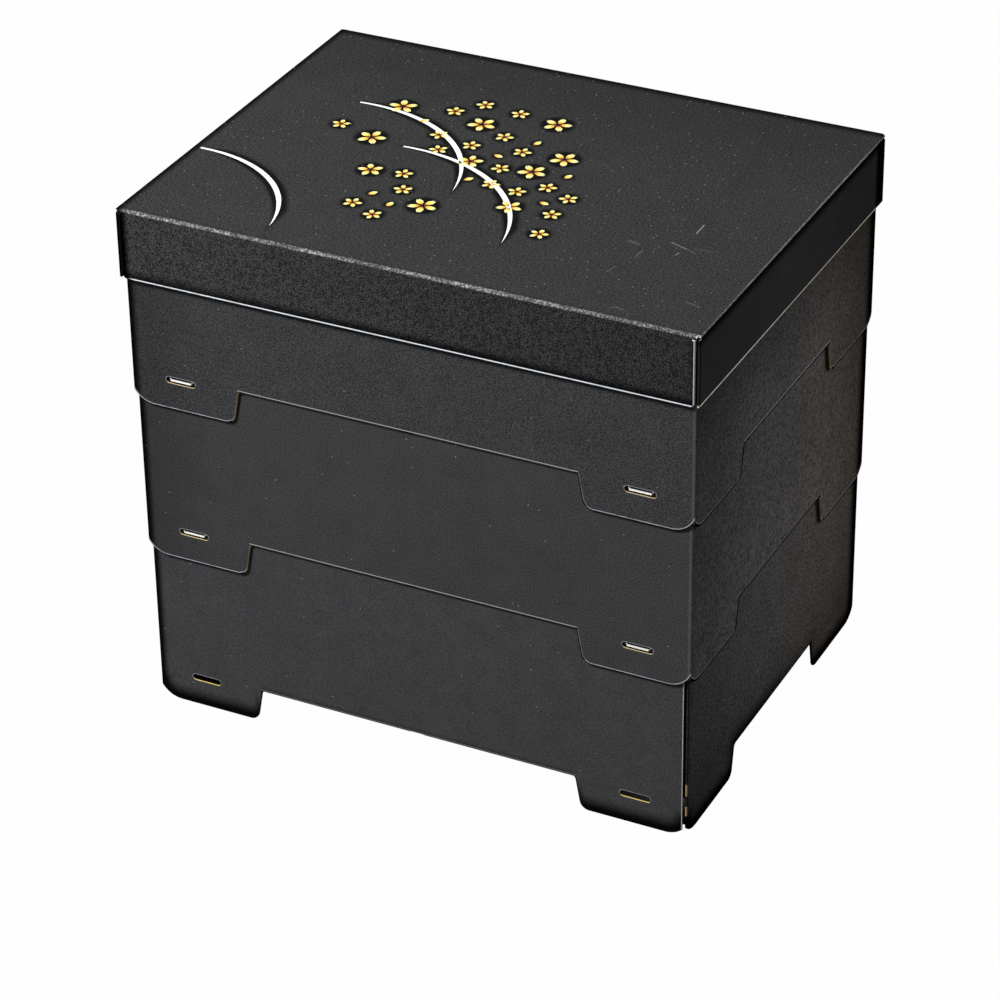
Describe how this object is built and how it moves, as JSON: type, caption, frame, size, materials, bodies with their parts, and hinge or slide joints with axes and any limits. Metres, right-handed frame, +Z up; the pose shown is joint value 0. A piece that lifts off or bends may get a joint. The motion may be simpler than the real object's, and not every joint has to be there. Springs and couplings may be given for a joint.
{
  "type": "stacking paperboard gift box",
  "caption": "Stacking food and gift box of creased black board in the jubako style: footed trays that nest on each other under a lift-off lid.",
  "frame": {"origin": "on the ground under the middle of the box", "axes": "+Z up, +X along the long side to the right, front face with the lock slots towards -Y"},
  "size_m": [0.23, 0.174, 0.212],
  "materials": {
    "lid_board": "matt black printed and laminated solid paperboard, pale cut edges",
    "tray_board": "matt black printed and laminated solid paperboard, pale cut edges",
    "floor_board": "matt black printed and laminated solid paperboard, pale cut edges",
    "gold_foil": "gold foil blossoms stamped on the lid",
    "silver_foil": "silver foil crescents stamped on the lid"
  },
  "bodies": {
    "bottom_tier": {"bottom_front_wall": "tray_board", "bottom_front_floor_flap": "floor_board", "bottom_right_wall": "tray_board", "bottom_right_floor_flap": "floor_board", "bottom_back_wall": "tray_board", "bottom_back_floor_flap": "floor_board", "bottom_left_wall": "tray_board", "bottom_left_floor_flap": "floor_board", "bottom_glue_flap": "tray_board"},
    "middle_tier": {"middle_front_wall": "tray_board", "middle_front_floor_flap": "floor_board", "middle_right_wall": "tray_board", "middle_right_floor_flap": "floor_board", "middle_back_wall": "tray_board", "middle_back_floor_flap": "floor_board", "middle_left_wall": "tray_board", "middle_left_floor_flap": "floor_board", "middle_glue_flap": "tray_board"},
    "top_tier": {"top_front_wall": "tray_board", "top_front_floor_flap": "floor_board", "top_right_wall": "tray_board", "top_right_floor_flap": "floor_board", "top_back_wall": "tray_board", "top_back_floor_flap": "floor_board", "top_left_wall": "tray_board", "top_left_floor_flap": "floor_board", "top_glue_flap": "tray_board"},
    "lid": {"lid_top": "lid_board", "lid_front_flap": "lid_board", "lid_right_flap": "lid_board", "lid_back_flap": "lid_board", "lid_left_flap": "lid_board", "lid_glue_tab_front_left": "lid_board", "lid_glue_tab_front_right": "lid_board", "lid_glue_tab_back_left": "lid_board", "lid_glue_tab_back_right": "lid_board"}
  },
  "joints": [
    {"name": "middle_tier_lift", "type": "slide", "parent": "bottom_tier", "child": "middle_tier", "axis": [0, 0, 1], "range_m": [0, 0.06]},
    {"name": "top_tier_lift", "type": "slide", "parent": "middle_tier", "child": "top_tier", "axis": [0, 0, 1], "range_m": [0, 0.06]},
    {"name": "lid_lift", "type": "slide", "parent": "top_tier", "child": "lid", "axis": [0, 0, 1], "range_m": [0, 0.07]}
  ]
}
